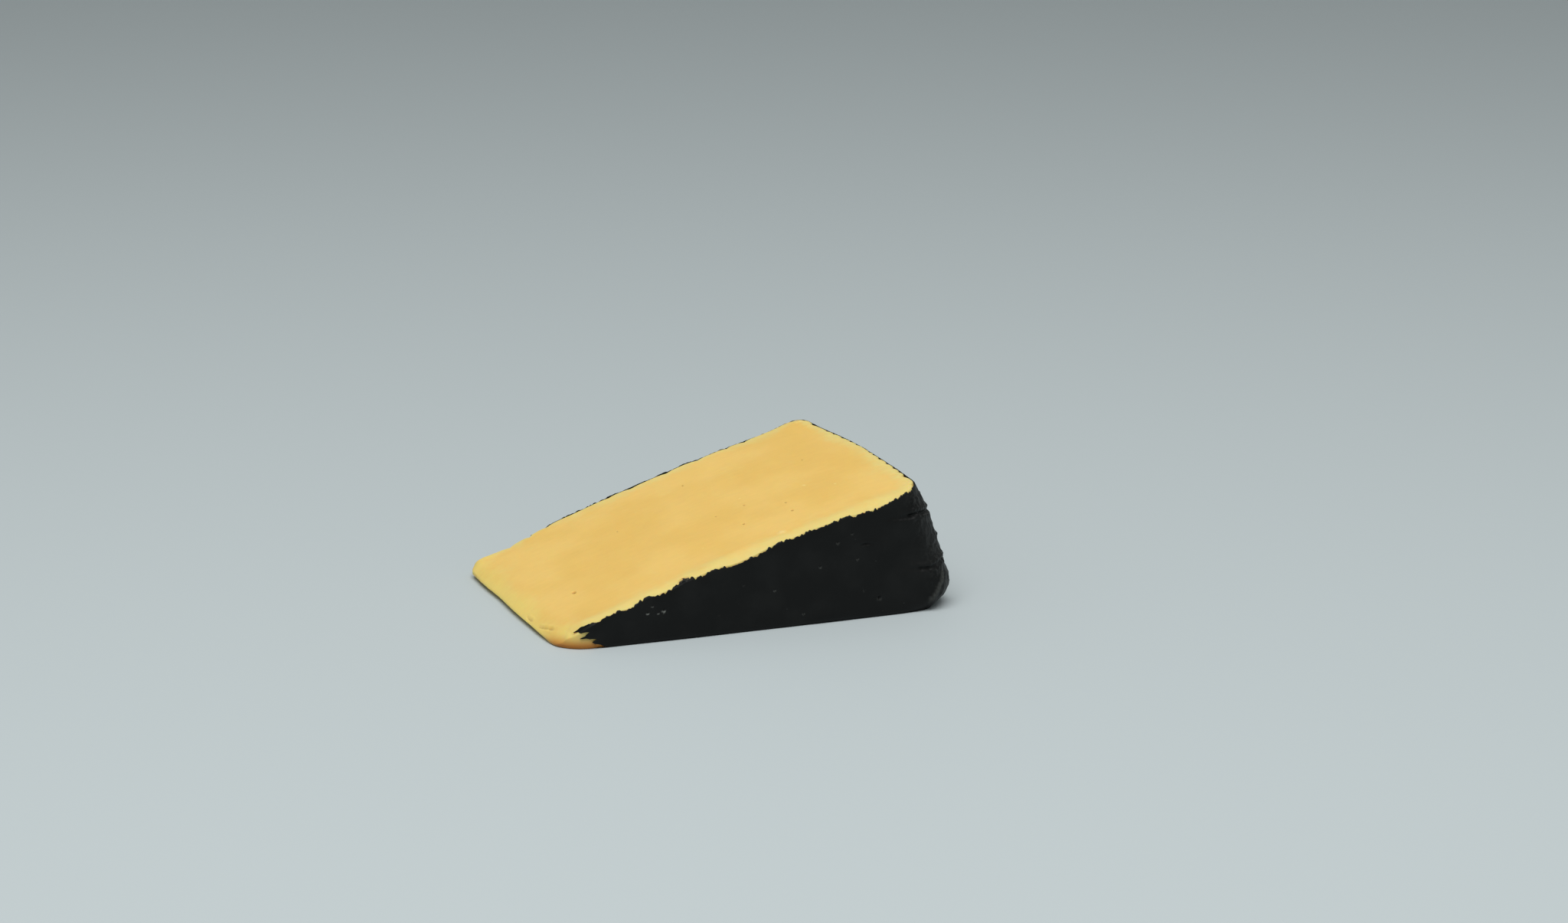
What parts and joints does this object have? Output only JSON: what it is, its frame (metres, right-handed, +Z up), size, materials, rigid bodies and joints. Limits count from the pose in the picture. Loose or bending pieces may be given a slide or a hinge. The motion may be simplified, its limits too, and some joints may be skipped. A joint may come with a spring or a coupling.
{
  "type": "cheese wedge",
  "caption": "Wedge of firm yellow cheese with a black wax coat on its rind and two sides, lying on one of its cut faces.",
  "frame": {"origin": "the middle of the wedge's bounding box, on the surface that its lower cut face rests on", "axes": "+X from the thin tip towards the waxed rind, +Y across the wheel's height away from the near waxed side, +Z up"},
  "size_m": [0.1142, 0.0852, 0.0346],
  "materials": {
    "cheese": "satin, smooth cut cheese with faint knife streaks and small pits",
    "wax": "satin, black cheese wax with pits and folds"
  },
  "bodies": {
    "root": {"cheese_body": "cheese", "wax_coat": "wax"}
  },
  "joints": []
}
